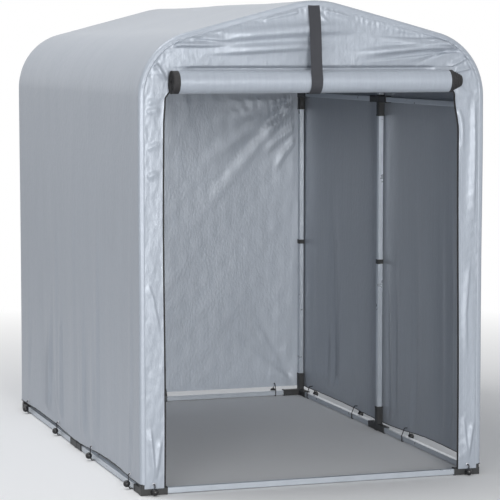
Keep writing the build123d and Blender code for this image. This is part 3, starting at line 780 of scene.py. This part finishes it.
mesh_out = {"Geometry": "Geometry"}
tie_tree, tie_in, tie_out = node_tree("ball_ties", "Geometry", {
    "Geometry": "Geometry", "Cord radius": 0.0015, "Bend": 0.004, "Ball radius": 0.0125,
    "Cord": "Material", "Ball": "Material",
}, mesh_out)
is_ball = add_node(tie_tree, "GeometryNodeInputNamedAttribute", {"Name": "ball"}, data_type="BOOLEAN")
parts = add_node(tie_tree, "GeometryNodeSeparateGeometry", domain="POINT")
to_curve = add_node(tie_tree, "GeometryNodeMeshToCurve")
fillet = add_node(tie_tree, "GeometryNodeFilletCurve", {"Count": 5, "Limit Radius": True}, mode="POLY")
ring = add_node(tie_tree, "GeometryNodeCurvePrimitiveCircle", {"Resolution": 10})
tube = add_node(tie_tree, "GeometryNodeCurveToMesh", {"Fill Caps": True})
cord_paint = add_node(tie_tree, "GeometryNodeSetMaterial")
sphere = add_node(tie_tree, "GeometryNodeMeshUVSphere", {"Segments": 28, "Rings": 18})
spots = add_node(tie_tree, "GeometryNodeInstanceOnPoints")
ball_paint = add_node(tie_tree, "GeometryNodeSetMaterial")
whole = add_node(tie_tree, "GeometryNodeJoinGeometry")
real = add_node(tie_tree, "GeometryNodeRealizeInstances")
round_off = add_node(tie_tree, "GeometryNodeSetShadeSmooth")
wire(
    tie_tree,
    (tie_in, "Geometry", parts, "Geometry"), (is_ball, "Attribute", parts, "Selection"),
    (parts, "Inverted", to_curve, "Mesh"), (to_curve, "Curve", fillet, "Curve"),
    (tie_in, "Bend", fillet, "Radius"), (fillet, "Curve", tube, "Curve"),
    (tie_in, "Cord radius", ring, "Radius"), (ring, "Curve", tube, "Profile Curve"),
    (tube, "Mesh", cord_paint, "Geometry"), (tie_in, "Cord", cord_paint, "Material"),
    (tie_in, "Ball radius", sphere, "Radius"), (sphere, "Mesh", spots, "Instance"),
    (parts, "Selection", spots, "Points"), (spots, "Instances", real, "Geometry"),
    (real, "Geometry", ball_paint, "Geometry"), (tie_in, "Ball", ball_paint, "Material"),
    (cord_paint, "Geometry", whole, "Geometry"), (ball_paint, "Geometry", whole, "Geometry"),
    (whole, "Geometry", round_off, "Geometry"), (round_off, "Geometry", tie_out, "Geometry"),
)

frame_x = 0.6317
rail_half = 0.010
rail_z = 0.0135
ball_r = 0.0125
ball_x = 0.6603
cord_r = 0.0019
cord_gap = 0.0018
eyelet_rise = 0.015
eyelet_z = hem_z + eyelet_rise
front_eyelet_z = front_hem_z + eyelet_rise
socket_z = 0.0265
flap_x = half_width - 0.050
front_ball_x = ball_x - half_width
cord_x = ball_x - ball_r / 2
inside_x = frame_x - rail_half - cord_gap
under_z = rail_z - rail_half - cord_gap
side_loop = [
    (cord_x, rail_z + ball_r), (cord_x, eyelet_z), (frame_x, eyelet_z),
    (inside_x, rail_z + rail_half + cord_gap), (inside_x, under_z), (half_width + cord_gap, under_z),
    (cord_x, rail_z),
]
front_loop = [
    (front_ball_x, rail_z), (front_ball_x, front_eyelet_z), (-portal_inset, front_eyelet_z),
    (-portal_inset, socket_z),
]
back_places = (side_ties[0] - front_y - half_width, 0.0, half_width - side_ties[0] + front_y)
tie_rows = {
    "ties_left": [(lambda a, z, y=y: (-a, y, z)) for y in side_ties],
    "ties_right": [(lambda a, z, y=y: (a, y, z)) for y in side_ties],
    "ties_back": [(lambda a, z, x=x: (x, back_y + a - half_width, z)) for x in back_places],
    "ties_front": [(lambda a, z, x=x: (x, front_y - a, z)) for x in (-flap_x, flap_x)],
}
for name, places in tie_rows.items():
    at_front = name == "ties_front"
    loop = front_loop if at_front else side_loop
    ball_at = (front_ball_x, rail_z) if at_front else (ball_x, rail_z + ball_r / 2)
    loops = [[place(a, z) for a, z in loop] for place in places]
    balls = [place(*ball_at) for place in places]
    ties = baked(name + "_elastic", line_mesh(name, loops, balls), tie_tree, {
        "Cord radius": cord_r, "Bend": 0.004, "Ball radius": ball_r, "Cord": elastic, "Ball": tie_finish,
    })
    keep_piece(ties, "tie_ball", name)

# Eyelets: pressed metal rings in the hem, one for each tie.
# Nickel-plated, about 12 mm across, clenched through the doubled cloth of the hem.
nickel = grained_finish(
    "nickel", 900.0, 80.0, (0.50, 0.50, 0.52, 1), (0.68, 0.68, 0.70, 1), (0.22, 0.38), "Grain",
    bump=(0.2, 0.0002), Metallic=1.0,
)


def end_tree(tree, mesh, material, out):
    """Ends a geometry tree with real geometry, smooth shading and one material, from two sockets."""
    steps = ("RealizeInstances", "SetShadeSmooth", "SetMaterial")
    real, round_off, paint = (add_node(tree, "GeometryNode" + step) for step in steps)
    tree.links.new(mesh, real.inputs["Geometry"])
    tree.links.new(material, paint.inputs["Material"])
    for start, end in ((real, round_off), (round_off, paint), (paint, out)):
        wire(tree, (start, "Geometry", end, "Geometry"))


ring_tree, ring_in, ring_out = node_tree("eyelets", "Geometry", {
    "Geometry": "Geometry", "Radius": 0.0045, "Lip": 0.0014, "Metal": "Material",
}, mesh_out)
facing = add_node(ring_tree, "GeometryNodeInputNamedAttribute", {"Name": "facing"}, data_type="FLOAT_VECTOR")
turn = add_node(ring_tree, "FunctionNodeAlignRotationToVector", axis="Z")
hoop = add_node(ring_tree, "GeometryNodeCurvePrimitiveCircle", {"Resolution": 28})
lip = add_node(ring_tree, "GeometryNodeCurvePrimitiveCircle", {"Resolution": 10})
body = add_node(ring_tree, "GeometryNodeCurveToMesh")
spots = add_node(ring_tree, "GeometryNodeInstanceOnPoints")
wire(
    ring_tree,
    (ring_in, "Radius", hoop, "Radius"), (ring_in, "Lip", lip, "Radius"), (hoop, "Curve", body, "Curve"),
    (lip, "Curve", body, "Profile Curve"), (ring_in, "Geometry", spots, "Points"),
    (body, "Mesh", spots, "Instance"), (facing, "Attribute", turn, "Vector"),
    (turn, "Rotation", spots, "Rotation"),
)
end_tree(ring_tree, spots.outputs["Instances"], ring_in.outputs["Metal"], ring_out)
ring_x = half_width + 0.0004
ring_rows = [((side * ring_x, y, eyelet_z), (side, 0, 0)) for side in (-1, 1) for y in side_ties]
ring_rows += [((x, back_y, eyelet_z), (0, 1, 0)) for x in back_places]
ring_rows += [((x, front_y, front_eyelet_z), (0, -1, 0)) for x in (-flap_x, flap_x)]
ring_mesh = bpy.data.meshes.new("eyelet_places")
ring_mesh.from_pydata([row[0] for row in ring_rows], [], [])
ring_mesh.attributes.new("facing", "FLOAT_VECTOR", "POINT").data.foreach_set(
    "vector", [value for row in ring_rows for value in row[1]]
)
eyelets = baked("hem_eyelets", ring_mesh, ring_tree, {"Radius": 0.0045, "Lip": 0.0013, "Metal": nickel})
keep_piece(eyelets, "tube_paint")

# Seams and zips: stitches along the seams and hems, and the coil of the zips.
# Grey lockstitch, a stitch every five or six millimetres, runs along both arches, the hems and beside the
# zips. The zip's coil is black nylon wire, one turn every three millimetres along the tape's edge.
thread = grained_finish(
    "thread", 3000.0, 30.0, (0.20, 0.215, 0.24, 1), (0.34, 0.36, 0.40, 1), bump=(0.4, 0.0002), Roughness=0.65
)
coil = grained_finish(
    "zip_coil", 2500.0, 50.0, (0.008, 0.008, 0.009, 1), (0.022, 0.022, 0.024, 1), bump=(0.3, 0.0002),
    Roughness=0.4,
)
run_tree, run_in, run_out = node_tree("repeats_along_a_line", "Geometry", {
    "Geometry": "Geometry", "Pitch": 0.005, "Half length": 0.0018, "Half width": 0.0004,
    "Material": "Material",
}, mesh_out)
to_curve = add_node(run_tree, "GeometryNodeMeshToCurve")
spaced = add_node(run_tree, "GeometryNodeResampleCurve", mode="LENGTH")
tangent = add_node(run_tree, "GeometryNodeInputTangent")
turn = add_node(run_tree, "FunctionNodeAlignRotationToVector", axis="X")
size = add_node(run_tree, "ShaderNodeCombineXYZ")
bead = add_node(run_tree, "GeometryNodeMeshIcoSphere", {"Radius": 1.0, "Subdivisions": 1})
spots = add_node(run_tree, "GeometryNodeInstanceOnPoints")
wire(
    run_tree,
    (run_in, "Geometry", to_curve, "Mesh"), (to_curve, "Curve", spaced, "Curve"),
    (run_in, "Pitch", spaced, "Length"), (spaced, "Curve", spots, "Points"),
    (tangent, "Tangent", turn, "Vector"), (turn, "Rotation", spots, "Rotation"),
    (run_in, "Half length", size, "X"), (run_in, "Half width", size, "Y"),
    (run_in, "Half width", size, "Z"), (size, "Vector", spots, "Scale"), (bead, "Mesh", spots, "Instance"),
)
end_tree(run_tree, spots.outputs["Instances"], run_in.outputs["Material"], run_out)
stitches = baked("seam_stitches", line_mesh("stitch_lines", stitch_rows), run_tree, {
    "Pitch": 0.0056, "Half length": 0.0020, "Half width": 0.0004, "Material": thread,
})
keep_piece(stitches, "cover_cloth")
teeth = baked("zip_teeth", line_mesh("teeth_lines", teeth_rows), run_tree, {
    "Pitch": 0.0030, "Half length": 0.0009, "Half width": 0.0012, "Material": coil,
})
keep_piece(teeth, "zip_tape")

# Hem edge: a dark round cord along the lower edge of both sides. It stands partly for a cord in the hem and
# partly for painted shade under the hem's edge.
# About four millimetres of it shows, from the front corner to the back one, and it follows the hem's curves.
edge_tube_tree, edge_tube_in, edge_tube_out = node_tree("edge_cord_tube", "Geometry", {
    "Geometry": "Geometry", "Radius": 0.0016, "Material": "Material",
}, mesh_out)
to_curve = add_node(edge_tube_tree, "GeometryNodeMeshToCurve")
ring = add_node(edge_tube_tree, "GeometryNodeCurvePrimitiveCircle", {"Resolution": 8})
tube = add_node(edge_tube_tree, "GeometryNodeCurveToMesh", {"Fill Caps": True})
wire(
    edge_tube_tree,
    (edge_tube_in, "Geometry", to_curve, "Mesh"), (to_curve, "Curve", tube, "Curve"),
    (edge_tube_in, "Radius", ring, "Radius"), (ring, "Curve", tube, "Profile Curve"),
)
end_tree(edge_tube_tree, tube.outputs["Mesh"], edge_tube_in.outputs["Material"], edge_tube_out)
hem_lines = line_mesh("hem_lines", hem_rows)
# Partly painted shade: this dark cord stands for the hem's cord and for the shade under the hem's edge.
hem_cord_and_shade = baked("hem_cord_and_painted_shade", hem_lines, edge_tube_tree, {"Radius": 0.0018, "Material": elastic})
keep_piece(hem_cord_and_shade, "zip_tape")

# Floor, lights and background.
# A plain pale floor that keeps the shelter's shadow, broad lamps from the front, and a white background.
floor_reach = 60.0
fade_start, fade_end = 1.6, 4.5
floor_mesh = bpy.data.meshes.new("floor")
floor_corners = [(a * floor_reach, b * floor_reach, 0) for a, b in ((-1, -1), (1, -1), (1, 1), (-1, 1))]
floor_mesh.from_pydata(floor_corners, [], [(0, 1, 2, 3)])
floor_paint = grained_finish(
    "floor_paint", 60.0, 0.4, (0.86, 0.86, 0.87, 1), (0.90, 0.90, 0.90, 1),
    Roughness=0.9, Specular_IOR_Level=0.1,
)
tree = floor_paint.node_tree
where = add_node(tree, "ShaderNodeTexCoord")
reach = add_node(tree, "ShaderNodeVectorMath", operation="LENGTH")
path = add_node(tree, "ShaderNodeLightPath")
seen = add_node(tree, "ShaderNodeMath", operation="MULTIPLY")
white = add_node(tree, "ShaderNodeEmission", {"Color": (1, 1, 1, 1), "Strength": 1.0})
blend = add_node(tree, "ShaderNodeMixShader")
tree.links.new(scaled(tree, reach.outputs["Value"], 0.0, 1.0, fade_start, fade_end), seen.inputs[1])
wire(
    tree, (where, "Object", reach, 0), (path, "Is Camera Ray", seen, 0), (seen, 0, blend, 0),
    (tree.nodes["Principled BSDF"], 0, blend, 1), (white, 0, blend, 2),
    (blend, 0, tree.nodes["Material Output"], "Surface"),
)
floor_mesh.materials.append(floor_paint)
floor = placed("floor", floor_mesh)

world = bpy.data.worlds.new("studio")
scene.world = world
world.use_nodes = True
tree = world.node_tree
sky = tree.nodes["Background"]
sky.inputs["Color"].default_value = (0.93, 0.96, 1.0, 1)
sky.inputs["Strength"].default_value = 0.40
backdrop = add_node(tree, "ShaderNodeBackground", {"Color": (1, 1, 1, 1), "Strength": 1.0})
path = add_node(tree, "ShaderNodeLightPath")
sees = path.outputs["Is Camera Ray"]
for name in ("Is Glossy Ray", "Is Transmission Ray"):
    either = add_node(tree, "ShaderNodeMath", operation="MAXIMUM")
    tree.links.new(sees, either.inputs[0])
    tree.links.new(path.outputs[name], either.inputs[1])
    sees = either.outputs[0]
blend = add_node(tree, "ShaderNodeMixShader")
tree.links.new(sees, blend.inputs[0])
wire(tree, (sky, 0, blend, 1), (backdrop, 0, blend, 2), (blend, 0, tree.nodes["World Output"], "Surface"))

lamp_size = 3.0
for name, place, aim, power, colour in (
    ("front", (-1.2, -12.0, 2.0), (0.0, 0.0, 0.9), 820.0, (1.0, 0.995, 0.98)),
    ("left", (-5.5, -9.0, 2.6), (0.0, 0.0, 0.9), 140.0, (0.97, 0.985, 1.0)),
    ("top", (-2.1, 0.2, 5.7), (-0.3, 0.0, 1.5), 140.0, (1.0, 1.0, 1.0)),
):
    light = bpy.data.lights.new(name, "AREA")
    light.shape = "DISK"
    light.size = lamp_size
    light.energy = power
    light.color = colour
    lamp = placed(name, light)
    lamp.location = place
    lamp.rotation_euler = (Vector(aim) - Vector(place)).to_track_quat("-Z", "Y").to_euler()

scene.view_settings.view_transform = "Standard"
bpy.context.view_layer.update()
